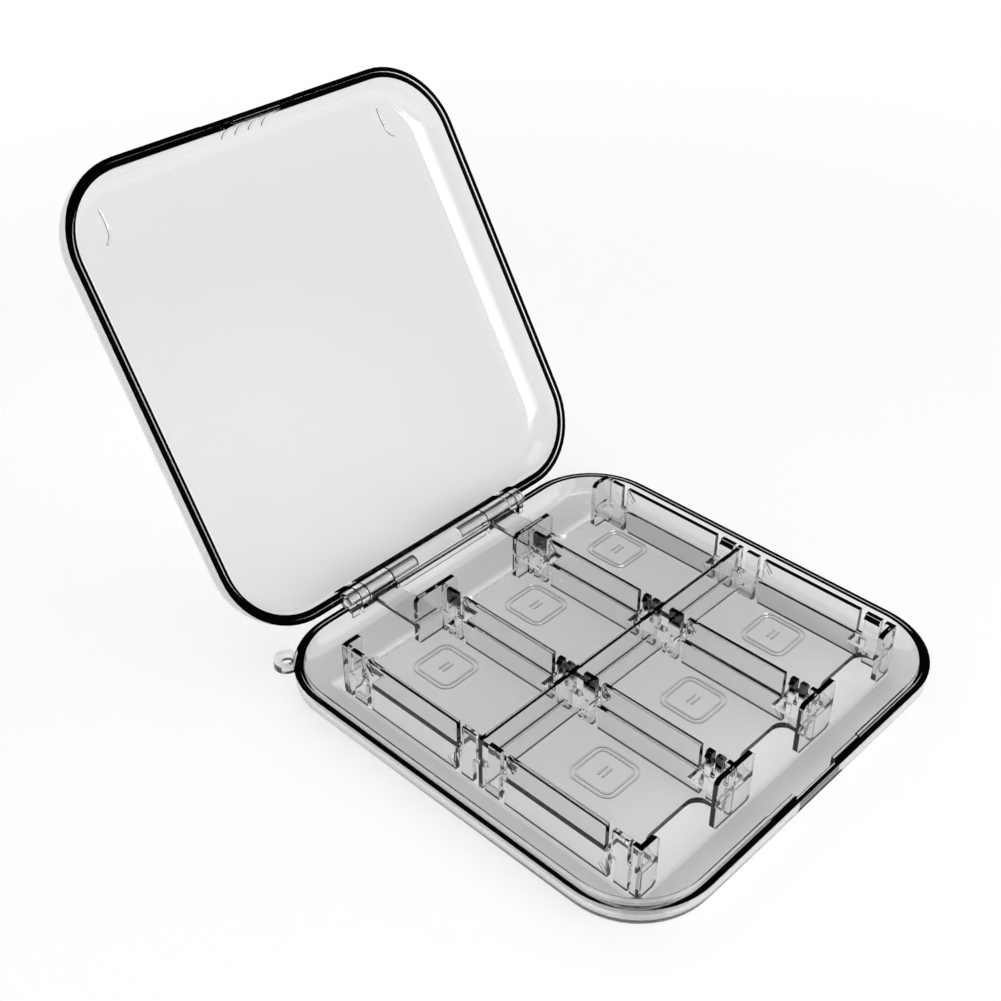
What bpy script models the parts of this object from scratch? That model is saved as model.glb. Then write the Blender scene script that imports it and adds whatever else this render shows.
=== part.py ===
"""Clear hinged case for game cards: a base shell, a lid shell, a two-sided card tray that turns on the
same hinge like a page, and two hinge pins.

The origin is the centre of the base's flat underside. X runs along the hinge, -Y is the latch side,
+Y is the hinge side and +Z is up. The tray lies in the base and the lid stands open.
"""

import math

import bmesh
import bpy
from mathutils import Matrix

# Everything is in metres, angles are in degrees.

# The cards and the room that each one gets.
CARD_WIDTH = 0.0210
CARD_LENGTH = 0.0310
CARD_THICKNESS = 0.0033
CARD_SIDE_CLEARANCE = 0.00035
CARD_END_CLEARANCE = 0.0001
CARD_TOP_CLEARANCE = 0.0001
COLUMNS = 3
ROWS = 2

# The card tray.
TRAY_WALL = 0.0009
TRAY_FLOOR = 0.0012
WALL_ABOVE_CARD = 0.00145
CROSS_WALL_DROP = 0.0001
POST_RISE = 0.00005
EDGE_TUCK = 0.0002
RAIL_SHARE = 0.55
FINGER_LENGTH = 0.0031
FINGER_SPLIT = 0.0007
FINGER_SLIT = 0.0012
POST_SLIT = 0.0007
POST_RETURN = 0.0009
CROSS_SLIT = 0.0005
LUG_LENGTH = 0.0026
LUG_SLIT = 0.0013
SNAP_BITE = 0.0006
SNAP_RISE = 0.0005
SNAP_INSET = 0.0001
WEDGE_BITE = 0.00025
WEDGE_HEIGHT = 0.0034
WEDGE_LENGTH = 0.0015
WINDOW_WIDTH = 0.0027
WINDOW_MARGIN = 0.0004
SCALLOP_FRONT = 0.0038
SCALLOP_BACK = 0.0030
SCALLOP_RADIUS = 0.0026
FRONT_POST_HALF = 0.0047
BACK_POST_HALF = 0.0050
BACK_POST_OUTSET = 0.0014
CORNER_POST_WIDTH = 0.0042
POST_CHAMFER = 0.0007

# The hinge, whose axis lies in the plane where the two rims meet.
HINGE_OFFSET = 0.0004
KNUCKLE_RADIUS = 0.0019
KNUCKLE_CLEARANCE = 0.0003
PIN_RADIUS = 0.0007
PIN_CLEARANCE = 0.00005
PIN_SETBACK = 0.0003
PIN_START = 0.0060
ARM_WIDTH = 0.0058
ARM_THICKNESS = 0.0011
ARM_OUTSET = 0.0041
ARM_ROOT = 0.0020
ARM_REACH = 0.0036
LID_LUG = 0.0017
OUTER_LUG = 0.0020
LUG_WEB = 0.0010
LID_OPEN_DEGREES = 121.45

# The two shells.
CORNER_RADIUS = 0.0145
SHELL_WALL = 0.0019
RIM_GAP = 0.0002
RIM_STEP = 0.00035
RIM_OUTER_WIDTH = 0.00085
FLOOR_BORDER = 0.00025
SEAT_GAP = 0.0003
BASE_FLOOR = 0.0016
BASE_STRAIGHT = 0.0017
BASE_OUTER_CREASE = 0.0093
BASE_INNER_CREASE = 0.0084
BASE_SLOPE_DEGREES = 15.0
CREASE_CORNER = 0.0010
LID_ROOM = 0.00065
LID_FLOOR = 0.0014
LID_STRAIGHT = 0.0014
LID_OUTER_REACH = 0.0049
LID_INNER_REACH = 0.0038

# The latch at the front.
TONGUE_WIDTH = 0.0104
TONGUE_THICKNESS = 0.0007
TONGUE_REACH = 0.0022
TONGUE_ROOT = 0.0010
TONGUE_CLEARANCE = 0.00025
SLOT_REACH = 0.0030
HOOK_BITE = 0.0002
HOOK_HEIGHT = 0.0007
HOOK_PLAY = 0.0001
LIP_GAP_WIDTH = 0.0245
NAIL_BEVEL_WIDTH = 0.0210
NAIL_BEVEL_DEPTH = 0.0011
NAIL_BEVEL_HEIGHT = 0.0009
RECESS_WIDTH = 0.0122
RECESS_DEPTH = 0.0003
RECESS_HEIGHT = 0.0012
RECESS_DROP = 0.0018
RIB_COUNT = 4
RIB_PITCH = 0.0030
RIB_WIDTH = 0.0005
RIB_REACH = 0.0010
RIB_START = 0.0013
RIB_HEIGHT = 0.0026

# The lanyard eyelet on the back left corner of the base.
EYELET_RADIUS = 0.0024
EYELET_HOLE = 0.0012
EYELET_THICKNESS = 0.0015
EYELET_STANDOFF = 0.0014
EYELET_DROP = 0.0009
EYELET_DEGREES = 131.0

# One overrun for all cuts, the overlap of joined shapes, and how finely round shapes are divided.
OVERRUN = 0.0010
JOIN = 0.0003
CORNER_STEPS = 14
PROFILE_STEPS = 10
ROUND_STEPS = 24

# Places and sizes that follow from the values above.
POCKET_WIDTH = CARD_WIDTH + 2 * CARD_SIDE_CLEARANCE
POCKET_LENGTH = CARD_LENGTH + 2 * CARD_END_CLEARANCE
COLUMN_PITCH = POCKET_WIDTH + TRAY_WALL
ROW_PITCH = POCKET_LENGTH + TRAY_WALL
TRAY_WIDTH = COLUMNS * COLUMN_PITCH + TRAY_WALL
TRAY_LENGTH = ROWS * ROW_PITCH + TRAY_WALL
FLOOR_HALF = TRAY_FLOOR / 2
CARD_TOP = FLOOR_HALF + CARD_THICKNESS
TRAY_HALF = CARD_TOP + WALL_ABOVE_CARD
HINGE_Z = BASE_FLOOR + SEAT_GAP + TRAY_HALF
LID_DEPTH = TRAY_HALF + LID_ROOM + LID_FLOOR
MARGIN = BASE_INNER_CREASE + FLOOR_BORDER
CASE_WIDTH = TRAY_WIDTH + 2 * MARGIN
CASE_LENGTH = TRAY_LENGTH + 2 * MARGIN + ARM_REACH
FRONT_Y = -CASE_LENGTH / 2
BACK_Y = CASE_LENGTH / 2
HINGE_Y = BACK_Y + HINGE_OFFSET
TRAY_Y = FRONT_Y + MARGIN + TRAY_LENGTH / 2
ARM_X = COLUMN_PITCH / 2 + ARM_OUTSET
ARM_INNER_X = ARM_X - ARM_WIDTH / 2
ARM_OUTER_X = ARM_X + ARM_WIDTH / 2
BARREL_HALF = ARM_INNER_X - KNUCKLE_CLEARANCE
LID_LUG_X = (ARM_OUTER_X + KNUCKLE_CLEARANCE, ARM_OUTER_X + KNUCKLE_CLEARANCE + LID_LUG)
OUTER_LUG_X = (LID_LUG_X[1] + KNUCKLE_CLEARANCE, LID_LUG_X[1] + KNUCKLE_CLEARANCE + OUTER_LUG)
NOTCH_DEPTH = KNUCKLE_RADIUS + KNUCKLE_CLEARANCE


def clear_scene():
    """Removes whatever the file holds."""
    for item in list(bpy.data.objects):
        bpy.data.objects.remove(item)


def plastic(name, colour, roughness, transmission):
    """A clear moulded plastic, or a plain one where nothing passes through."""
    material = bpy.data.materials.new(name)
    material.use_nodes = True
    shader = material.node_tree.nodes["Principled BSDF"]
    shader.inputs["Base Color"].default_value = colour
    shader.inputs["Roughness"].default_value = roughness
    shader.inputs["Metallic"].default_value = 0.0
    shader.inputs["Transmission Weight"].default_value = transmission
    return material


def base_plastic():
    """Clear plastic of the base."""
    return plastic("base_clear", (0.86, 0.87, 0.88, 1.0), 0.03, 1.0)


def lid_plastic():
    """Clear plastic of the lid."""
    return plastic("lid_clear", (0.88, 0.89, 0.90, 1.0), 0.03, 1.0)


def tray_plastic():
    """Clear plastic of the card tray."""
    return plastic("tray_clear", (0.84, 0.85, 0.86, 1.0), 0.04, 1.0)


def pin_plastic():
    """Satin grey rod of the hinge pins."""
    return plastic("pin_grey", (0.50, 0.50, 0.51, 1.0), 0.35, 0.0)


def mesh_object(name, points, faces):
    """A closed mesh object whose faces point out."""
    mesh = bpy.data.meshes.new(name)
    mesh.from_pydata(points, [], faces)
    shape = bmesh.new()
    shape.from_mesh(mesh)
    bmesh.ops.recalc_face_normals(shape, faces=shape.faces)
    shape.to_mesh(mesh)
    shape.free()
    made = bpy.data.objects.new(name, mesh)
    bpy.context.scene.collection.objects.link(made)
    return made


def prism(name, outline, axis, low, high):
    """Extrudes a flat outline along an axis: the outline's two values are the other two axes in order."""
    def place(pair, along):
        if axis == "X":
            return (along, pair[0], pair[1])
        if axis == "Y":
            return (pair[0], along, pair[1])
        return (pair[0], pair[1], along)

    count = len(outline)
    points = [place(pair, low) for pair in outline] + [place(pair, high) for pair in outline]
    faces = [list(range(count)), list(range(count, 2 * count))]
    for index in range(count):
        following = (index + 1) % count
        faces.append([index, following, count + following, count + index])
    return mesh_object(name, points, faces)


def box(name, x_range, y_range, z_range):
    """A block between two values on each axis."""
    outline = [
        (x_range[0], y_range[0]),
        (x_range[1], y_range[0]),
        (x_range[1], y_range[1]),
        (x_range[0], y_range[1]),
    ]
    return prism(name, outline, "Z", z_range[0], z_range[1])


def circle(centre, radius, steps=ROUND_STEPS):
    """Points of a circle in a plane."""
    points = []
    for index in range(steps):
        angle = math.tau * (index + 0.5) / steps
        points.append((centre[0] + radius * math.cos(angle), centre[1] + radius * math.sin(angle)))
    return points


def rod(name, x_range, radius):
    """A cylinder along X about the hinge axis, which is the local origin."""
    return prism(name, circle((0.0, 0.0), radius), "X", x_range[0], x_range[1])


def combine(target, others, operation):
    """Joins the other objects to the target, or cuts them from it, and removes them."""
    for other in others:
        step = target.modifiers.new(operation.lower(), "BOOLEAN")
        step.operation = operation
        step.solver = "EXACT"
        step.object = other
    bpy.context.view_layer.update()
    graph = bpy.context.evaluated_depsgraph_get()
    finished = bpy.data.meshes.new_from_object(target.evaluated_get(graph))
    target.modifiers.clear()
    target.data = finished
    for other in others:
        bpy.data.objects.remove(other)


def join(target, others):
    """Joins the other objects to the target."""
    combine(target, others, "UNION")


def cut(target, others):
    """Cuts the other objects out of the target."""
    combine(target, others, "DIFFERENCE")


def moved(made, offset):
    """Shifts an object's mesh, and leaves its origin where it is."""
    made.data.transform(Matrix.Translation(offset))
    return made


def turned_copy(made):
    """The same shape turned half a turn about X, for the tray's other face."""
    other = made.copy()
    other.data = made.data.copy()
    other.data.transform(Matrix.Rotation(math.pi, 4, "X"))
    bpy.context.scene.collection.objects.link(other)
    return other


def both_sides(x_range):
    """The same range on the right and on the left of the middle."""
    return [x_range, (-x_range[1], -x_range[0])]


def finish(made, material, sharp_degrees=35.0):
    """Gives the object its material and smooth shading with sharp edges."""
    made.data.materials.clear()
    made.data.materials.append(material)
    made.data.shade_smooth()
    made.data.set_sharp_from_angle(angle=math.radians(sharp_degrees))


def rounded_rectangle(width, length, radius, steps):
    """Points round a rectangle with round corners, centred on the case."""
    points = []
    centres = (
        (width / 2 - radius, length / 2 - radius),
        (radius - width / 2, length / 2 - radius),
        (radius - width / 2, radius - length / 2),
        (width / 2 - radius, radius - length / 2),
    )
    for corner, centre in enumerate(centres):
        for index in range(steps + 1):
            angle = math.pi / 2 * (corner + index / steps)
            points.append((centre[0] + radius * math.cos(angle), centre[1] + radius * math.sin(angle)))
    return points


def rounding(inset, straight, reach, depth):
    """Inset, depth and corner radius of each ring, from a flat panel up to the wall under the rim."""
    rings = []
    for index in range(PROFILE_STEPS + 1):
        angle = math.pi / 2 * (1 - index / PROFILE_STEPS)
        across = inset + reach * (1 - math.cos(angle))
        below = straight + (depth - straight) * math.sin(angle)
        rings.append((across, below, CORNER_RADIUS - across))
    return rings


def sloped(inset, crease, depth):
    """The same for the base: a crease round the flat panel, a shallow slope, then a round corner."""
    slope = math.radians(BASE_SLOPE_DEGREES)
    corner = depth - (crease - inset) * math.tan(slope)
    radius = (corner - BASE_STRAIGHT) / math.tan(math.pi / 4 - slope / 2)
    rings = [(crease, depth, CREASE_CORNER)]
    for index in range(PROFILE_STEPS + 1):
        angle = (math.pi / 2 - slope) * (1 - index / PROFILE_STEPS)
        across = inset + radius * (1 - math.cos(angle))
        rings.append((across, BASE_STRAIGHT + radius * math.sin(angle), CORNER_RADIUS - across))
    return rings


def half_shell(name, outer, inner, up):
    """A dished shell lofted through its outer rings, its rim and its inner rings.

    Up is 1 for the lid and -1 for the base. The mesh is measured from the hinge axis, with the shell in
    its closed place. Each rim has a step: the base's inner lip stands up into the lid's rebate.
    """
    rim = RIM_GAP / 2
    riser = RIM_OUTER_WIDTH if up > 0 else RIM_OUTER_WIDTH + RIM_GAP
    lip = rim + up * RIM_STEP
    rings = list(outer)
    for inset, below in ((0.0, rim), (riser, rim), (riser, lip), (SHELL_WALL, lip)):
        rings.append((inset, below, CORNER_RADIUS - inset))
    rings += inner[::-1]
    points = []
    for inset, below, corner in rings:
        width = CASE_WIDTH - 2 * inset
        length = CASE_LENGTH - 2 * inset
        for x, y in rounded_rectangle(width, length, corner, CORNER_STEPS):
            points.append((x, y - HINGE_Y, up * below))
    count = len(points) // len(rings)
    faces = [list(range(count)), list(range(len(points) - count, len(points)))]
    for ring in range(len(rings) - 1):
        start = ring * count
        above = start + count
        for index in range(count):
            following = (index + 1) % count
            faces.append([start + index, start + following, above + following, above + index])
    return mesh_object(name, points, faces)


def rim_notches(x_ranges, up):
    """Cutters through the back wall, where the other pieces' knuckles turn."""
    near = -HINGE_OFFSET - SHELL_WALL - OVERRUN
    cutters = []
    for x_range in x_ranges:
        z_range = sorted((-up * OVERRUN, up * NOTCH_DEPTH))
        cutters.append(box("notch", x_range, (near, OVERRUN), z_range))
    return cutters


def hinge_lug(x_range, up):
    """A knuckle about the hinge axis, with the web that ties it to its shell's back wall."""
    knuckle = rod("lug", x_range, KNUCKLE_RADIUS)
    web_y = (-HINGE_OFFSET - LUG_WEB, -HINGE_OFFSET + JOIN)
    web_z = sorted((up * RIM_GAP, up * (KNUCKLE_RADIUS + LUG_WEB)))
    web = box("web", (x_range[0] + EDGE_TUCK, x_range[1] - EDGE_TUCK), web_y, web_z)
    join(knuckle, [web])
    return knuckle


def pin_bore(x_range):
    """The cutter of a knuckle's bore."""
    return rod("bore", (x_range[0] - OVERRUN, x_range[1] + OVERRUN), PIN_RADIUS + PIN_CLEARANCE)


def pin_holes():
    """Cutters of the base's two blind holes, one from each end of its row of knuckles."""
    x_range = (PIN_START - PIN_SETBACK, OUTER_LUG_X[1] + OVERRUN)
    return [rod("hole", side, PIN_RADIUS + PIN_CLEARANCE) for side in both_sides(x_range)]


def eyelet():
    """The lanyard loop: a flat ring that stands out from the base's back left corner."""
    angle = math.radians(EYELET_DEGREES)
    corner = (CORNER_RADIUS - CASE_WIDTH / 2, BACK_Y - CORNER_RADIUS - HINGE_Y)
    reach = CORNER_RADIUS + EYELET_STANDOFF
    centre = (corner[0] + reach * math.cos(angle), corner[1] + reach * math.sin(angle))
    top = -EYELET_DROP
    low = top - EYELET_THICKNESS
    ring = prism("eyelet", circle(centre, EYELET_RADIUS), "Z", low, top)
    hole = prism("eyelet_hole", circle(centre, EYELET_HOLE), "Z", low - OVERRUN, top + OVERRUN)
    return ring, hole


def tongue_slot():
    """Cutters for the latch in the base's front wall: the tongue's slot and the hook's groove."""
    inner = FRONT_Y + SHELL_WALL - HINGE_Y
    half = TONGUE_WIDTH / 2 + TONGUE_CLEARANCE
    slot_y = (inner - TONGUE_THICKNESS - TONGUE_CLEARANCE, inner + SLOT_REACH)
    slot = box("slot", (-half, half), slot_y, (-TONGUE_REACH - TONGUE_CLEARANCE, OVERRUN))
    groove_y = (slot_y[0] - HOOK_BITE, inner)
    groove_z = (-TONGUE_REACH - TONGUE_CLEARANCE, -TONGUE_REACH + HOOK_HEIGHT + HOOK_PLAY)
    groove = box("groove", (-half, half), groove_y, groove_z)
    return [slot, groove]


def lip_gap():
    """The cutter that takes the base's lip away at the latch, where its rim is flat."""
    front = FRONT_Y - HINGE_Y
    y_range = (front + RIM_OUTER_WIDTH, front + SHELL_WALL + OVERRUN)
    return box("gap", (-LIP_GAP_WIDTH / 2, LIP_GAP_WIDTH / 2), y_range, (-RIM_GAP / 2, OVERRUN))


def nail_bevel():
    """The cutter that slopes the front of the lid's rim, so that a nail gets between the two rims."""
    front = FRONT_Y - HINGE_Y
    outline = [
        (front - OVERRUN, NAIL_BEVEL_HEIGHT),
        (front, NAIL_BEVEL_HEIGHT),
        (front + NAIL_BEVEL_DEPTH, RIM_GAP / 2),
        (front + NAIL_BEVEL_DEPTH, -OVERRUN),
        (front - OVERRUN, -OVERRUN),
    ]
    return prism("bevel", outline, "X", -NAIL_BEVEL_WIDTH / 2, NAIL_BEVEL_WIDTH / 2)


def thumb_recess():
    """The cutter of the shallow groove under the base's rim, for the thumb."""
    front = FRONT_Y - HINGE_Y
    outline = [
        (front - OVERRUN, -RECESS_DROP),
        (front, -RECESS_DROP),
        (front + RECESS_DEPTH, -RECESS_DROP - RECESS_HEIGHT / 2),
        (front, -RECESS_DROP - RECESS_HEIGHT),
        (front - OVERRUN, -RECESS_DROP - RECESS_HEIGHT),
    ]
    return prism("recess", outline, "X", -RECESS_WIDTH / 2, RECESS_WIDTH / 2)


def make_base(material):
    """The bottom shell, with its long middle barrel, two knuckles, the latch's slot and the eyelet."""
    outer = sloped(0.0, BASE_OUTER_CREASE, HINGE_Z)
    inner = sloped(SHELL_WALL, BASE_INNER_CREASE, HINGE_Z - BASE_FLOOR)
    shell = half_shell("base_shell", outer, inner, -1)
    cut(shell, rim_notches(both_sides((BARREL_HALF, OUTER_LUG_X[0])), -1))
    lug_ranges = [(-BARREL_HALF, BARREL_HALF)] + both_sides(OUTER_LUG_X)
    ring, hole = eyelet()
    join(shell, [hinge_lug(x_range, -1) for x_range in lug_ranges] + [ring])
    cut(shell, pin_holes() + [hole])
    cut(shell, tongue_slot() + [lip_gap(), thumb_recess()])
    shell.location = (0.0, HINGE_Y, HINGE_Z)
    finish(shell, material)
    return shell


def latch_tongue():
    """The tongue that hangs inside the lid's front rim, with its hook."""
    outer = FRONT_Y + SHELL_WALL - TONGUE_THICKNESS - HINGE_Y
    inner = outer + TONGUE_THICKNESS
    outline = [
        (inner - JOIN, TONGUE_ROOT),
        (outer, TONGUE_ROOT),
        (outer, HOOK_HEIGHT - TONGUE_REACH),
        (outer - HOOK_BITE, HOOK_HEIGHT / 2 - TONGUE_REACH),
        (outer, -TONGUE_REACH),
        (inner - JOIN, -TONGUE_REACH),
        (inner, JOIN - TONGUE_REACH),
        (inner, TONGUE_ROOT - JOIN),
    ]
    return prism("tongue", outline, "X", -TONGUE_WIDTH / 2, TONGUE_WIDTH / 2)


def tongue_ribs():
    """Gussets inside the lid's front wall, over the tongue, that stiffen it."""
    inner = FRONT_Y + SHELL_WALL - HINGE_Y
    top = RIB_START + RIB_HEIGHT
    outline = [
        (inner - JOIN, RIB_START),
        (inner, RIB_START),
        (inner + RIB_REACH, top),
        (inner + RIB_REACH, top + RIB_WIDTH),
        (inner - JOIN, top + RIB_WIDTH),
    ]
    ribs = []
    for index in range(RIB_COUNT):
        x = RIB_PITCH * (index - (RIB_COUNT - 1) / 2)
        ribs.append(prism("rib", outline, "X", x - RIB_WIDTH / 2, x + RIB_WIDTH / 2))
    return ribs


def make_lid(material):
    """The top shell, with one knuckle at each hinge, and the latch's tongue and its ribs."""
    outer = rounding(0.0, LID_STRAIGHT, LID_OUTER_REACH, LID_DEPTH)
    inner = rounding(SHELL_WALL, LID_STRAIGHT, LID_INNER_REACH, LID_DEPTH - LID_FLOOR)
    shell = half_shell("lid_shell", outer, inner, 1)
    middle_notch = (-LID_LUG_X[0], LID_LUG_X[0])
    outer_notch = (LID_LUG_X[1], OUTER_LUG_X[1] + KNUCKLE_CLEARANCE)
    cut(shell, rim_notches([middle_notch] + both_sides(outer_notch), 1))
    lug_ranges = both_sides(LID_LUG_X)
    lugs = [hinge_lug(x_range, 1) for x_range in lug_ranges]
    join(shell, lugs + [latch_tongue()] + tongue_ribs())
    cut(shell, [pin_bore(x_range) for x_range in lug_ranges] + [nail_bevel()])
    shell.location = (0.0, HINGE_Y, HINGE_Z)
    shell.rotation_euler = (-math.radians(LID_OPEN_DEGREES), 0.0, 0.0)
    finish(shell, material)
    return shell


def wall_places():
    """X of the walls that run front to back."""
    return [COLUMN_PITCH * (index - COLUMNS / 2) for index in range(COLUMNS + 1)]


def row_ends():
    """Each pocket's front and back end from the tray's middle, and whether each of them is a post."""
    ends = []
    for row in range(ROWS):
        front = TRAY_WALL - TRAY_LENGTH / 2 + row * ROW_PITCH
        ends.append((front, front + POCKET_LENGTH, row == 0, row == ROWS - 1))
    return ends


def finger_range(front, at_post):
    """Front and back end of the snap finger at a pocket's front end."""
    start = front + (POST_RETURN + POST_SLIT if at_post else CROSS_SLIT)
    return start, start + FINGER_LENGTH


def wall_top(split):
    """The upper outline of a wall, as (place, height) points from front to back.

    Gaps cut the fingers and lugs free. A split finger stands as two narrower ones, so that each can bend
    into its own pocket.
    """
    rail = FLOOR_HALF * RAIL_SHARE
    points = [(-TRAY_LENGTH / 2, TRAY_HALF)]

    def gap(start, end):
        points.extend([(start, TRAY_HALF), (start, rail), (end, rail), (end, TRAY_HALF)])

    for front, back, front_post, back_post in row_ends():
        start, end = finger_range(front, front_post)
        gap(start - (POST_SLIT if front_post else CROSS_SLIT), start)
        if split:
            middle = (start + end) / 2
            gap(middle - FINGER_SPLIT / 2, middle + FINGER_SPLIT / 2)
        gap(end, end + FINGER_SLIT)
        lug_end = back - LUG_SLIT
        lug_start = lug_end - LUG_LENGTH
        gap(lug_start - LUG_SLIT, lug_start)
        last = back - POST_RETURN if back_post else back
        gap(lug_end, last)
    points.append((TRAY_LENGTH / 2, TRAY_HALF))
    return points


def long_wall(x, split):
    """A wall from front to back. Its lower edge is its upper edge turned half a turn."""
    top = wall_top(split)
    outline = top + [(-place, -height) for place, height in top]
    return prism("wall", outline, "X", x - TRAY_WALL / 2, x + TRAY_WALL / 2)


def snap_bump(x, side, start, end):
    """The sloped bump on a finger that holds a card down. Side is 1 or -1, the way that it points."""
    face = TRAY_WALL / 2
    low = CARD_TOP + CARD_TOP_CLEARANCE
    profile = [
        (0.0, low),
        (face, low),
        (face + SNAP_BITE, low + SNAP_RISE / 2),
        (face + SNAP_BITE, low + SNAP_RISE),
        (face, TRAY_HALF - SNAP_INSET),
        (0.0, TRAY_HALF - SNAP_INSET),
    ]
    outline = [(x + side * across, height) for across, height in profile]
    return prism("bump", outline, "Y", start + SNAP_INSET, end - SNAP_INSET)


def wall_bumps(x, split):
    """All bumps on the upper fingers of one wall."""
    bumps = []
    for front, _, front_post, _ in row_ends():
        start, end = finger_range(front, front_post)
        if split:
            middle = (start + end) / 2
            bumps.append(snap_bump(x, 1, start, middle - FINGER_SPLIT / 2))
            bumps.append(snap_bump(x, -1, middle + FINGER_SPLIT / 2, end))
        else:
            bumps.append(snap_bump(x, -1 if x > 0 else 1, start, end))
    return bumps


def wall_wedges(x):
    """The shallow arrow-shaped boss at the back end of each pocket's wall, which steadies the card."""
    middle = (FLOOR_HALF + TRAY_HALF) / 2
    wedges = []
    for _, back, _, _ in row_ends():
        edge = back - 2 * LUG_SLIT - LUG_LENGTH - SNAP_INSET
        outline = [
            (edge, middle - WEDGE_HEIGHT / 2),
            (edge, middle + WEDGE_HEIGHT / 2),
            (edge - WEDGE_LENGTH, middle),
        ]
        half = TRAY_WALL / 2 + WEDGE_BITE
        wedges.append(prism("wedge", outline, "X", x - half, x + half))
    return wedges


def post_plate(x_range, y_range):
    """An upright end plate with chamfered corners, as high above the floor as it is deep below it."""
    low, high = x_range
    half = TRAY_HALF + POST_RISE
    outline = [
        (low + POST_CHAMFER, -half),
        (high - POST_CHAMFER, -half),
        (high, POST_CHAMFER - half),
        (high, half - POST_CHAMFER),
        (high - POST_CHAMFER, half),
        (low + POST_CHAMFER, half),
        (low, half - POST_CHAMFER),
        (low, POST_CHAMFER - half),
    ]
    return prism("post", outline, "Y", y_range[0], y_range[1])


def post_ranges(inner_half, outset):
    """X ranges of the end plates on one side: one at each inner wall and one at each corner."""
    ranges = []
    for x in wall_places()[1:-1]:
        centre = x + math.copysign(outset, x)
        ranges.append((centre - inner_half, centre + inner_half))
    edge = TRAY_WIDTH / 2 + POST_RISE
    ranges += both_sides((edge - CORNER_POST_WIDTH, edge))
    return sorted(ranges)


def scallops(x_ranges, edge, depth):
    """Cutters that set the floor back between neighbouring posts, with round inner corners."""
    inward = math.copysign(1.0, -edge)
    cutters = []
    for left, right in zip(x_ranges, x_ranges[1:]):
        low = left[1]
        high = right[0]
        flat = edge + inward * depth
        outside = edge - inward * OVERRUN
        outline = [(low, outside)]
        corners = ((low + SCALLOP_RADIUS, 180.0, 90.0), (high - SCALLOP_RADIUS, 90.0, 0.0))
        for centre_x, start, end in corners:
            for index in range(ROUND_STEPS // 4 + 1):
                angle = math.radians(start + (end - start) * index / (ROUND_STEPS // 4))
                x = centre_x + SCALLOP_RADIUS * math.cos(angle)
                y = flat + inward * SCALLOP_RADIUS * (math.sin(angle) - 1)
                outline.append((x, y))
        outline.append((high, outside))
        cutters.append(prism("scallop", outline, "Z", -TRAY_FLOOR, TRAY_FLOOR))
    return cutters


def floor_windows():
    """Cutters for the openings in the floor beside each upper finger."""
    cutters = []
    walls = wall_places()
    for front, _, front_post, _ in row_ends():
        start = front + (WINDOW_MARGIN if front_post else -TRAY_WALL / 2)
        _, finger_end = finger_range(front, front_post)
        end = finger_end + FINGER_SLIT
        for column in range(COLUMNS):
            left = walls[column] + TRAY_WALL / 2
            right = walls[column + 1] - TRAY_WALL / 2
            for x_range in ((left - JOIN, left + WINDOW_WIDTH), (right - WINDOW_WIDTH, right + JOIN)):
                cutters.append(box("window", x_range, (start, end), (-TRAY_FLOOR, TRAY_FLOOR)))
    return cutters


def tray_floor():
    """The floor plate, set back between the posts and open beside the snap fingers of both faces."""
    half_x = TRAY_WIDTH / 2 - EDGE_TUCK
    half_y = TRAY_LENGTH / 2 - EDGE_TUCK
    floor = box("card_tray", (-half_x, half_x), (-half_y, half_y), (-FLOOR_HALF, FLOOR_HALF))
    front_posts = post_ranges(FRONT_POST_HALF, 0.0)
    back_posts = post_ranges(BACK_POST_HALF, BACK_POST_OUTSET)
    cut(floor, scallops(front_posts, -TRAY_LENGTH / 2, SCALLOP_FRONT))
    cut(floor, scallops(back_posts, TRAY_LENGTH / 2, SCALLOP_BACK))
    windows = floor_windows()
    cut(floor, windows + [turned_copy(window) for window in windows])
    return floor


def cross_walls():
    """The walls between the rows."""
    half_x = TRAY_WIDTH / 2 - EDGE_TUCK
    half_z = TRAY_HALF - CROSS_WALL_DROP
    walls = []
    for row in range(1, ROWS):
        y = row * ROW_PITCH - TRAY_LENGTH / 2 + TRAY_WALL / 2
        y_range = (y - TRAY_WALL / 2, y + TRAY_WALL / 2)
        walls.append(box("cross", (-half_x, half_x), y_range, (-half_z, half_z)))
    return walls


def tray_posts():
    """The upright plates at the tray's front and back."""
    front = (-TRAY_LENGTH / 2 - POST_RISE, TRAY_WALL - TRAY_LENGTH / 2)
    back = (TRAY_LENGTH / 2 - TRAY_WALL, TRAY_LENGTH / 2 + POST_RISE)
    posts = [post_plate(x_range, front) for x_range in post_ranges(FRONT_POST_HALF, 0.0)]
    posts += [post_plate(x_range, back) for x_range in post_ranges(BACK_POST_HALF, BACK_POST_OUTSET)]
    return posts


def hinge_arms():
    """The two arms that carry the tray on the hinge, each ending in a barrel."""
    hinge = HINGE_Y - TRAY_Y
    arms = []
    for x_range in both_sides((ARM_INNER_X, ARM_OUTER_X)):
        y_range = (TRAY_LENGTH / 2 - SCALLOP_BACK - ARM_ROOT, hinge)
        inside = (x_range[0] + EDGE_TUCK, x_range[1] - EDGE_TUCK)
        arm = box("arm", inside, y_range, (-ARM_THICKNESS / 2, ARM_THICKNESS / 2))
        arms += [arm, moved(rod("barrel", x_range, KNUCKLE_RADIUS), (0.0, hinge, 0.0))]
    return arms


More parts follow.
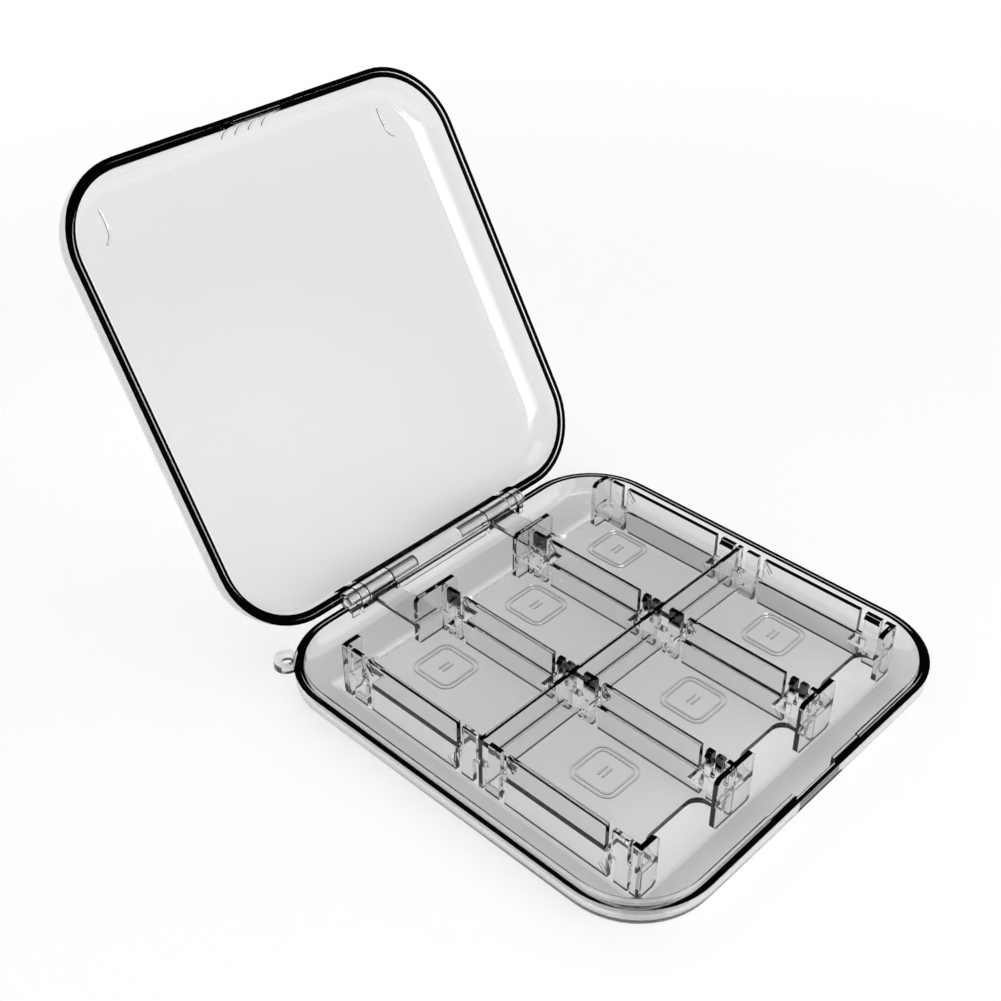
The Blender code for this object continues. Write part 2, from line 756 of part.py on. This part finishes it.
def make_tray(material):
    """The card tray: six pockets on its upper face and six on its lower face, moulded as one piece."""
    tray = tray_floor()
    last = len(wall_places()) - 1
    details = []
    for index, x in enumerate(wall_places()):
        split = 0 < index < last
        join(tray, [long_wall(x, split)])
        details += wall_bumps(x, split) + wall_wedges(x)
    join(tray, cross_walls())
    join(tray, tray_posts())
    join(tray, details + [turned_copy(detail) for detail in details])
    join(tray, hinge_arms())
    bores = []
    for x_range in both_sides((ARM_INNER_X, ARM_OUTER_X)):
        bores.append(moved(pin_bore(x_range), (0.0, HINGE_Y - TRAY_Y, 0.0)))
    cut(tray, bores)
    moved(tray, (0.0, TRAY_Y - HINGE_Y, 0.0))
    tray.location = (0.0, HINGE_Y, HINGE_Z)
    finish(tray, material)
    return tray


def make_pins(material):
    """The two rods on which the lid and the tray turn."""
    for name, side in (("hinge_pin_left", -1), ("hinge_pin_right", 1)):
        ends = sorted((side * PIN_START, side * (OUTER_LUG_X[1] - PIN_SETBACK)))
        pin = rod(name, ends, PIN_RADIUS)
        pin.location = (0.0, HINGE_Y, HINGE_Z)
        finish(pin, material)


def main():
    """Builds the whole case."""
    clear_scene()
    make_base(base_plastic())
    make_lid(lid_plastic())
    make_tray(tray_plastic())
    make_pins(pin_plastic())


main()
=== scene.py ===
import math

import bmesh
import bpy
from mathutils import Matrix, Vector


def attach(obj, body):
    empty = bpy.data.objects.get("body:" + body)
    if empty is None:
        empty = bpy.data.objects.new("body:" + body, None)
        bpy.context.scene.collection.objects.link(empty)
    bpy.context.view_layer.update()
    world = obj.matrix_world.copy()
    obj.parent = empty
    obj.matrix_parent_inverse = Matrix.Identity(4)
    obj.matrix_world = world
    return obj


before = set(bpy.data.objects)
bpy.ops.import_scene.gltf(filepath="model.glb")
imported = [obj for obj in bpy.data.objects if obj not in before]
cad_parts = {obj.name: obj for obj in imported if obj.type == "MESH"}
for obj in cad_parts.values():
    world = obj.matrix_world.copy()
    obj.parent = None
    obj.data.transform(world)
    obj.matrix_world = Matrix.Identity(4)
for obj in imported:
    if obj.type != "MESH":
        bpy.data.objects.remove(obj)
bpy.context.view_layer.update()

# The looks of the clear game card case: its plastics, the marks in its pockets and on its lid,
# the floor, the light and the camera. Lengths are in metres, in the frame's own axes, angles in
# degrees, and a noise is given as its scale and its detail.

WHITE = (1.0, 1.0, 1.0, 1.0)

# The camera, solved from the photograph.
CAMERA_PLACE = (-0.15252, -0.11898, 0.17896)
CAMERA_TARGET = (0.01935, 0.04506, 0.00725)
CAMERA_SENSOR = 36.0
CAMERA_LENS = 53.45
CAMERA_CLIP = (0.01, 20.0)

# The clear plastic: its faint surface tint, the smoke that darkens it by depth, its roughness
# and the wave in its surface.
CLEAR_IOR = 1.49
SHELL_TINT = (0.987, 0.987, 0.987, 1.0)
TRAY_TINT = (0.983, 0.983, 0.983, 1.0)
TINT_CHANGE = 0.012
TINT_NOISE = (45.0, 2.0)
SMOKE_COLOUR = (0.45, 0.45, 0.45, 1.0)
BASE_SMOKE = 100.0
LID_SMOKE = 135.0
TRAY_SMOKE = 85.0
CLEAR_ROUGHNESS = (0.004, 0.02)
CLEAR_GRAIN = (90.0, 3.0)
WAVE_NOISE = (60.0, 0.0)
WAVE_HEIGHT = 0.000001

# The most times that a ray is mirrored: cutting it off there darkens the tray's wall tops. Then
# the share of the light that each surface of the plastic lets into its shadow.
MIRROR_BOUNCES = 2
SHADOW_LIGHT = (0.972, 0.972, 0.972, 1.0)

# The pins' grey satin.
PIN_DARK = (0.57, 0.57, 0.58, 1.0)
PIN_LIGHT = (0.65, 0.65, 0.66, 1.0)
PIN_ROUGHNESS = (0.2, 0.35)
PIN_GRAIN = (400.0, 2.0)

# Edges that are flatter than these angles are shaded smooth, once corners in one place are
# joined. The base has an angle of its own, since its crease of 15 degrees stays sharp.
BASE_ANGLE = 12.0
ROUND_ANGLE = 20.0
JOIN_DISTANCE = 0.000001

# The sloped band round the base's floor panel gets a painted shade, greyer than the panel. It lies
# between these distances from the middle along X or Y.
BAND_START = 0.0346
BAND_END = 0.0406
BAND_FADE = 0.0002
BAND_PAINTED_SHADE = 0.74

# The upper fingers and lugs of the tray's inner walls get a painted shade, nearly black: where
# they stand along
# Y, how far they reach from the middle along X, and from which height.
BLOCK_ROWS = (
    (-0.03190, -0.02870),
    (-0.00620, -0.00350),
    (-0.00090, 0.00230),
    (0.02590, 0.02860),
)
BLOCK_REACH = 0.02
BLOCK_LOW = 0.0095
BLOCK_FADE = 0.0003
BLOCK_PAINTED_SHADE = 0.08

# The marks on the pocket floors: an outline of two lines with two short bars in it.
MARK_CENTRE_X = (-0.0226, 0.0, 0.0226)
MARK_CENTRE_Y = (-0.0176, 0.0178)
MARK_SIZE = 0.0092
MARK_CORNER = 0.0022
MARK_LINE = 0.0003
MARK_STEP = 0.0008
MARK_HEIGHT = 0.0002
MARK_GAP = 0.00002
CORNER_STEPS = 8
BAR_REACH = 0.00115
BAR_OFFSET = 0.00045
POCKET_FLOOR_Z = 0.00785

# The two small curved marks on the lid's inner face, as points of the shut lid.
LID_MARK = (
    (0.0317, -0.0362), (0.0316, -0.0350), (0.0316, -0.0338), (0.0317, -0.0326),
    (0.0319, -0.0315), (0.0323, -0.0308), (0.0330, -0.0302),
)
LID_MARK_WIDTH = 0.00035
LID_MARK_HEIGHT = 0.0003
LID_FACE_Z = 0.01325

# The lid's hinge, and the turn from the shut lid to the photograph's.
HINGE_Y = 0.0434
HINGE_Z = 0.00725
LID_TURN = -121.45

# The floor, which keeps its shadows near the case and runs out into the backdrop's white.
FLOOR_SIZE = 6.0
FLOOR_DROP = 0.00005
FLOOR_COLOUR = (0.90, 0.90, 0.90, 1.0)
FLOOR_GLOW = 0.20
FLOOR_FADE = (0.12, 0.33)

# The studio. The camera sees it white. Rays through the plastic see a white backdrop that fades
# into a dark ceiling between these upward parts of their direction. Mirrored rays see it dark
# all round. Scattering surfaces get an even light from all round.
BACKDROP_FADE = (0.25, 0.45)
CEILING_LEVEL = 0.024
AMBIENT_LEVEL = 0.36

# The softboxes: name, place, the point that they face, width and height, and power. The front
# ones face the middle of the lid's right side.
LID_MIDDLE = (0.04, 0.07, 0.042)
SOFTBOXES = (
    ("key_softbox", (-0.27, -1.50, 0.865), LID_MIDDLE, (1.9, 0.72), 24.0),
    ("left_softbox", (-1.31, -0.99, 0.60), LID_MIDDLE, (0.5, 0.72), 2.6),
    ("top_softbox", (-0.1, 0.5, 1.7), (0.0, 0.2, 0.0), (1.2, 1.2), 6.5),
)


def new_material(name):
    """A material with an empty node tree, its nodes and its links."""
    material = bpy.data.materials.new(name)
    material.use_nodes = True
    nodes = material.node_tree.nodes
    nodes.clear()
    return material, nodes, material.node_tree.links


def calculate(nodes, links, operation, *values):
    """The result of a Math node on plain numbers and other nodes' outputs."""
    node = nodes.new("ShaderNodeMath")
    node.operation = operation
    for socket, value in zip(node.inputs, values):
        if isinstance(value, bpy.types.NodeSocket):
            links.new(value, socket)
        else:
            socket.default_value = value
    return node.outputs["Value"]


def spread(nodes, links, value, start=(0.0, 1.0), end=(0.0, 1.0), smooth=False):
    """The value turned from the start range into the end range, and kept inside it."""
    node = nodes.new("ShaderNodeMapRange")
    if smooth:
        node.interpolation_type = "SMOOTHSTEP"
    node.inputs["From Min"].default_value, node.inputs["From Max"].default_value = start
    node.inputs["To Min"].default_value, node.inputs["To Max"].default_value = end
    links.new(value, node.inputs["Value"])
    return node.outputs["Result"]


def coordinates(nodes, links, space):
    """The outputs X, Y and Z of the place in a texture space."""
    place = nodes.new("ShaderNodeTexCoord")
    parts = nodes.new("ShaderNodeSeparateXYZ")
    links.new(place.outputs[space], parts.inputs["Vector"])
    return [parts.outputs[axis] for axis in ("X", "Y", "Z")]


def noise(nodes, links, scale, detail):
    """Solid noise over the object's own space."""
    place = nodes.new("ShaderNodeTexCoord")
    texture = nodes.new("ShaderNodeTexNoise")
    texture.inputs["Scale"].default_value = scale
    texture.inputs["Detail"].default_value = detail
    links.new(place.outputs["Object"], texture.inputs["Vector"])
    return texture.outputs["Fac"]


def two_tints(nodes, links, share, low, high):
    """A colour that goes from the low tint to the high one with the share."""
    tints = nodes.new("ShaderNodeValToRGB")
    tints.color_ramp.elements[0].color = low
    tints.color_ramp.elements[1].color = high
    links.new(share, tints.inputs["Fac"])
    return tints.outputs["Color"]


def mix_shaders(nodes, links, share, first, second):
    """The first shader where the share is 0, and the second where it is 1."""
    mix = nodes.new("ShaderNodeMixShader")
    for socket, value in zip(mix.inputs, (share, first, second)):
        links.new(value, socket)
    return mix.outputs["Shader"]


def seen_directly(nodes, links):
    """1 for rays from the camera, by reflection or through glass, and 0 for scattered light."""
    path = nodes.new("ShaderNodeLightPath")
    seen = path.outputs["Is Camera Ray"]
    for name in ("Is Glossy Ray", "Is Transmission Ray"):
        seen = calculate(nodes, links, "MAXIMUM", seen, path.outputs[name])
    return seen


def slope_painted_shade(nodes, links):
    """The base's painted shade: greyer on the slope between its flat panel and its walls."""
    x, y, _ = coordinates(nodes, links, "Object")
    sides = [calculate(nodes, links, "ABSOLUTE", side) for side in (x, y)]
    furthest = calculate(nodes, links, "MAXIMUM", *sides)
    offset = calculate(nodes, links, "SUBTRACT", furthest, (BAND_START + BAND_END) / 2)
    distance = calculate(nodes, links, "ABSOLUTE", offset)
    half = (BAND_END - BAND_START) / 2
    edge = (half - BAND_FADE, half + BAND_FADE)
    return spread(nodes, links, distance, start=edge, end=(BAND_PAINTED_SHADE, 1.0))


def block_painted_shade(nodes, links):
    """The tray's painted shade: nearly black on the upper fingers and lugs of its inner walls."""
    x, y, z = coordinates(nodes, links, "Object")
    rows = [
        calculate(nodes, links, "COMPARE", y, (start + end) / 2, (end - start) / 2)
        for start, end in BLOCK_ROWS
    ]
    in_row = rows[0]
    for row in rows[1:]:
        in_row = calculate(nodes, links, "MAXIMUM", in_row, row)
    high = spread(nodes, links, z, start=(BLOCK_LOW - BLOCK_FADE, BLOCK_LOW + BLOCK_FADE))
    inner = calculate(nodes, links, "COMPARE", x, 0.0, BLOCK_REACH)
    share = calculate(nodes, links, "MULTIPLY", high, in_row)
    share = calculate(nodes, links, "MULTIPLY", share, inner)
    return spread(nodes, links, share, end=(1.0, BLOCK_PAINTED_SHADE))


def clear_plastic(name, tint, smoke, painted_shade=None):
    """Moulded smoky plastic: faintly uneven in tint and gloss, with a shallow flow wave, and
    darker where a painted shade is given.
    """
    material, nodes, links = new_material(name)
    output = nodes.new("ShaderNodeOutputMaterial")
    shader = nodes.new("ShaderNodeBsdfPrincipled")
    shader.inputs["Transmission Weight"].default_value = 1.0
    shader.inputs["IOR"].default_value = CLEAR_IOR

    low_tint = [value - TINT_CHANGE for value in tint[:3]] + [1.0]
    colour = two_tints(nodes, links, noise(nodes, links, *TINT_NOISE), low_tint, tint)
    # A painted shade, where one is given, scales the colour down.
    if painted_shade:
        shade_painting = nodes.new("ShaderNodeVectorMath")
        shade_painting.operation = "SCALE"
        links.new(colour, shade_painting.inputs["Vector"])
        links.new(painted_shade(nodes, links), shade_painting.inputs["Scale"])
        colour = shade_painting.outputs["Vector"]
    links.new(colour, shader.inputs["Base Color"])

    grain = noise(nodes, links, *CLEAR_GRAIN)
    roughness = spread(nodes, links, grain, end=CLEAR_ROUGHNESS)
    links.new(roughness, shader.inputs["Roughness"])

    wave = nodes.new("ShaderNodeBump")
    wave.inputs["Distance"].default_value = WAVE_HEIGHT
    links.new(noise(nodes, links, *WAVE_NOISE), wave.inputs["Height"])
    links.new(wave.outputs["Normal"], shader.inputs["Normal"])

    shadow_ray = nodes.new("ShaderNodeLightPath").outputs["Is Shadow Ray"]
    through = nodes.new("ShaderNodeBsdfTransparent")
    through.inputs["Color"].default_value = SHADOW_LIGHT
    surface = mix_shaders(
        nodes, links, shadow_ray, shader.outputs["BSDF"], through.outputs["BSDF"]
    )
    links.new(surface, output.inputs["Surface"])

    depth = nodes.new("ShaderNodeVolumeAbsorption")
    depth.inputs["Color"].default_value = SMOKE_COLOUR
    depth.inputs["Density"].default_value = smoke
    links.new(depth.outputs["Volume"], output.inputs["Volume"])
    return material


def grey_satin(name):
    """The pins' grey satin, with a fine even grain in its tint and gloss."""
    material, nodes, links = new_material(name)
    output = nodes.new("ShaderNodeOutputMaterial")
    shader = nodes.new("ShaderNodeBsdfPrincipled")
    grain = noise(nodes, links, *PIN_GRAIN)
    colour = two_tints(nodes, links, grain, PIN_DARK, PIN_LIGHT)
    links.new(colour, shader.inputs["Base Color"])
    links.new(spread(nodes, links, grain, end=PIN_ROUGHNESS), shader.inputs["Roughness"])
    links.new(shader.outputs["BSDF"], output.inputs["Surface"])
    return material


def floor_paper(name):
    """White paper that keeps the shadows that fall on it, and turns plain white far away."""
    material, nodes, links = new_material(name)
    output = nodes.new("ShaderNodeOutputMaterial")
    seen = seen_directly(nodes, links)
    paper = nodes.new("ShaderNodeBsdfDiffuse")
    paper.inputs["Color"].default_value = FLOOR_COLOUR
    glow = nodes.new("ShaderNodeEmission")
    strength = calculate(nodes, links, "MULTIPLY", seen, FLOOR_GLOW)
    links.new(strength, glow.inputs["Strength"])
    near = nodes.new("ShaderNodeAddShader")
    links.new(paper.outputs["BSDF"], near.inputs[0])
    links.new(glow.outputs["Emission"], near.inputs[1])

    place = nodes.new("ShaderNodeTexCoord")
    distance = nodes.new("ShaderNodeVectorMath")
    distance.operation = "LENGTH"
    links.new(place.outputs["Object"], distance.inputs[0])
    share = spread(nodes, links, distance.outputs["Value"], start=FLOOR_FADE, smooth=True)
    far = nodes.new("ShaderNodeEmission")
    links.new(seen, far.inputs["Strength"])
    surface = mix_shaders(
        nodes, links, share, near.outputs["Shader"], far.outputs["Emission"]
    )
    links.new(surface, output.inputs["Surface"])
    return material


def smooth_shading(angle):
    """A modifier's node tree that shades every edge flatter than the angle smooth."""
    tree = bpy.data.node_groups.new("smooth_shading", "GeometryNodeTree")
    for way in ("INPUT", "OUTPUT"):
        tree.interface.new_socket("Geometry", in_out=way, socket_type="NodeSocketGeometry")
    nodes = tree.nodes
    links = tree.links
    start = nodes.new("NodeGroupInput")
    bare = nodes.new("GeometryNodeRemoveAttribute")
    bare.inputs["Name"].default_value = "custom_normal"
    joined = nodes.new("GeometryNodeMergeByDistance")
    joined.inputs["Distance"].default_value = JOIN_DISTANCE
    faces = nodes.new("GeometryNodeSetShadeSmooth")
    faces.domain = "FACE"
    edges = nodes.new("GeometryNodeSetShadeSmooth")
    edges.domain = "EDGE"
    end = nodes.new("NodeGroupOutput")
    steps = (start, bare, joined, faces, edges, end)
    for step, following in zip(steps, steps[1:]):
        links.new(step.outputs["Geometry"], following.inputs["Geometry"])
    bend = nodes.new("GeometryNodeInputMeshEdgeAngle")
    flatter = nodes.new("FunctionNodeCompare")
    flatter.operation = "LESS_THAN"
    flatter.inputs["B"].default_value = math.radians(angle)
    links.new(bend.outputs["Unsigned Angle"], flatter.inputs["A"])
    links.new(flatter.outputs["Result"], edges.inputs["Shade Smooth"])
    return tree


def dress(node, material, angle):
    """Gives a CAD node its material and shades its rounded edges smooth."""
    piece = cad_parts[node]
    piece.data.materials.clear()
    piece.data.materials.append(material)
    piece.modifiers.new("smooth_shading", "NODES").node_group = smooth_shading(angle)


def new_piece(name, shape, material):
    """An object of the finished shape, which it uses up, with its material."""
    mesh = bpy.data.meshes.new(name)
    shape.to_mesh(mesh)
    shape.free()
    piece = bpy.data.objects.new(name, mesh)
    piece.data.materials.append(material)
    bpy.context.scene.collection.objects.link(piece)
    return piece


def rounded_loop(width, length, radius):
    """Points round a rectangle with round corners, centred on the origin."""
    points = []
    centres = (
        (width / 2 - radius, length / 2 - radius),
        (radius - width / 2, length / 2 - radius),
        (radius - width / 2, radius - length / 2),
        (width / 2 - radius, radius - length / 2),
    )
    for corner, (x, y) in enumerate(centres):
        for index in range(CORNER_STEPS + 1):
            angle = math.pi / 2 * (corner + index / CORNER_STEPS)
            points.append((x + radius * math.cos(angle), y + radius * math.sin(angle)))
    return points


def ring_shape(shape, outer, inner, low, high):
    """A low ring between two loops of as many points."""
    loops = []
    for loop, height in ((outer, low), (outer, high), (inner, high), (inner, low)):
        loops.append([shape.verts.new((x, y, height)) for x, y in loop])
    count = len(outer)
    for index, loop in enumerate(loops):
        other = loops[(index + 1) % len(loops)]
        for point in range(count):
            following = (point + 1) % count
            shape.faces.new((loop[point], loop[following], other[following], other[point]))


def bar_shape(shape, x_range, y_range, low, high):
    """A low bar."""
    corners = [
        shape.verts.new((x, y, height)) for height in (low, high) for x in x_range for y in y_range
    ]
    sides = ((0, 1, 3, 2), (0, 2, 6, 4), (1, 5, 7, 3), (0, 4, 5, 1), (2, 3, 7, 6), (4, 6, 7, 5))
    for side in sides:
        shape.faces.new([corners[index] for index in side])


def make_pocket_marks(material):
    """A plain moulded card outline with two short bars on the floor of each pocket."""
    low = POCKET_FLOOR_Z + MARK_GAP
    high = low + MARK_HEIGHT
    loops = []
    for inset in (0.0, MARK_LINE, MARK_STEP, MARK_STEP + MARK_LINE):
        side = MARK_SIZE - 2 * inset
        loops.append(rounded_loop(side, side, MARK_CORNER - inset))
    for row, y in enumerate(MARK_CENTRE_Y):
        for column, x in enumerate(MARK_CENTRE_X):
            shape = bmesh.new()
            ring_shape(shape, loops[0], loops[1], low, high)
            ring_shape(shape, loops[2], loops[3], low, high)
            for centre in (-BAR_OFFSET, BAR_OFFSET):
                y_range = (centre - MARK_LINE / 2, centre + MARK_LINE / 2)
                bar_shape(shape, (-BAR_REACH, BAR_REACH), y_range, low, high)
            bmesh.ops.recalc_face_normals(shape, faces=shape.faces)
            mark = new_piece(f"pocket_mark_{row}_{column}", shape, material)
            mark.location = (x, y, 0.0)
            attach(mark, "tray")


def ridge_shape(shape, line, low, high):
    """A low ridge of one width along a line of points, closed at its ends."""
    rows = []
    for index, point in enumerate(line):
        before = Vector(line[max(index - 1, 0)])
        after = Vector(line[min(index + 1, len(line) - 1)])
        along = (after - before).normalized()
        side = Vector((-along.y, along.x)) * LID_MARK_WIDTH / 2
        left = Vector(point) + side
        right = Vector(point) - side
        corners = ((left, low), (left, high), (right, high), (right, low))
        rows.append([shape.verts.new((place.x, place.y, height)) for place, height in corners])
    for row, other in zip(rows, rows[1:]):
        for corner, start in enumerate(row):
            following = (corner + 1) % len(row)
            shape.faces.new((start, row[following], other[following], other[corner]))
    shape.faces.new(rows[0])
    shape.faces.new(rows[-1])


def make_lid_marks(material):
    """Two small curved ridges on the lid's inner face, drawn on the shut lid and turned open."""
    hinge = Matrix.Translation((0.0, HINGE_Y, HINGE_Z))
    opened = hinge @ Matrix.Rotation(math.radians(LID_TURN), 4, "X") @ hinge.inverted()
    high = LID_FACE_Z - MARK_GAP
    for name, side in (("left", -1), ("right", 1)):
        shape = bmesh.new()
        ridge_shape(shape, [(side * x, y) for x, y in LID_MARK], high - LID_MARK_HEIGHT, high)
        bmesh.ops.recalc_face_normals(shape, faces=shape.faces)
        mark = new_piece(f"lid_mark_{name}", shape, material)
        mark.matrix_world = opened
        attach(mark, "lid")


def make_floor():
    """The floor that the case stands on."""
    shape = bmesh.new()
    bmesh.ops.create_grid(shape, x_segments=1, y_segments=1, size=FLOOR_SIZE / 2)
    floor = new_piece("studio_floor", shape, floor_paper("studio_floor"))
    floor.location = (0.0, 0.0, -FLOOR_DROP)


def background(nodes, colour):
    """A background shader of one colour."""
    shader = nodes.new("ShaderNodeBackground")
    shader.inputs["Color"].default_value = colour
    return shader


def make_world():
    """White to the camera, a backdrop under a dark ceiling through plastic, and dark mirrored."""
    world = bpy.data.worlds.new("studio")
    bpy.context.scene.world = world
    world.use_nodes = True
    nodes = world.node_tree.nodes
    links = world.node_tree.links
    nodes.clear()
    output = nodes.new("ShaderNodeOutputWorld")

    _, _, z = coordinates(nodes, links, "Generated")
    fade = spread(nodes, links, z, start=BACKDROP_FADE, end=(1.0, CEILING_LEVEL), smooth=True)
    path = nodes.new("ShaderNodeLightPath")
    mirrored = nodes.new("ShaderNodeMix")
    mirrored.inputs["B"].default_value = CEILING_LEVEL
    links.new(path.outputs["Is Glossy Ray"], mirrored.inputs["Factor"])
    links.new(fade, mirrored.inputs["A"])
    level = calculate(
        nodes, links, "MAXIMUM", mirrored.outputs["Result"], path.outputs["Is Camera Ray"]
    )
    studio = background(nodes, WHITE)
    links.new(level, studio.inputs["Strength"])
    ambient = background(nodes, WHITE)
    ambient.inputs["Strength"].default_value = AMBIENT_LEVEL
    seen = seen_directly(nodes, links)
    surface = mix_shaders(
        nodes, links, seen, ambient.outputs["Background"], studio.outputs["Background"]
    )
    links.new(surface, output.inputs["Surface"])


def aimed(place, target):
    """A turn that points -Z from the place to the target, with Y up."""
    return (Vector(target) - Vector(place)).to_track_quat("-Z", "Y").to_euler()


def make_softbox(name, place, target, size, power):
    """A rectangular area lamp."""
    data = bpy.data.lights.new(name, "AREA")
    data.shape = "RECTANGLE"
    data.size, data.size_y = size
    data.energy = power
    lamp = bpy.data.objects.new(name, data)
    lamp.location = place
    lamp.rotation_euler = aimed(place, target)
    bpy.context.scene.collection.objects.link(lamp)


def make_camera():
    """The photograph's viewpoint."""
    data = bpy.data.cameras.new("photo_camera")
    data.sensor_width = CAMERA_SENSOR
    data.lens = CAMERA_LENS
    data.clip_start, data.clip_end = CAMERA_CLIP
    camera = bpy.data.objects.new("photo_camera", data)
    camera.location = CAMERA_PLACE
    camera.rotation_euler = aimed(CAMERA_PLACE, CAMERA_TARGET)
    bpy.context.scene.collection.objects.link(camera)
    bpy.context.scene.camera = camera


# The base's plastic carries a painted shade on its sloped band.
base_plastic = clear_plastic("base_clear", SHELL_TINT, BASE_SMOKE, slope_painted_shade)
dress("base_shell", base_plastic, BASE_ANGLE)
lid_plastic = clear_plastic("lid_clear", SHELL_TINT, LID_SMOKE)
dress("lid_shell", lid_plastic, ROUND_ANGLE)
make_lid_marks(lid_plastic)
# The tray's plastic carries a painted shade on its upper fingers and lugs.
tray_plastic = clear_plastic("tray_clear", TRAY_TINT, TRAY_SMOKE, block_painted_shade)
dress("card_tray", tray_plastic, ROUND_ANGLE)
make_pocket_marks(tray_plastic)
pin_satin = grey_satin("pin_grey")
dress("hinge_pin_left", pin_satin, ROUND_ANGLE)
dress("hinge_pin_right", pin_satin, ROUND_ANGLE)
make_floor()
make_world()
for softbox in SOFTBOXES:
    make_softbox(*softbox)
make_camera()
bpy.context.scene.view_settings.view_transform = "Standard"
bpy.context.scene.cycles.glossy_bounces = MIRROR_BOUNCES
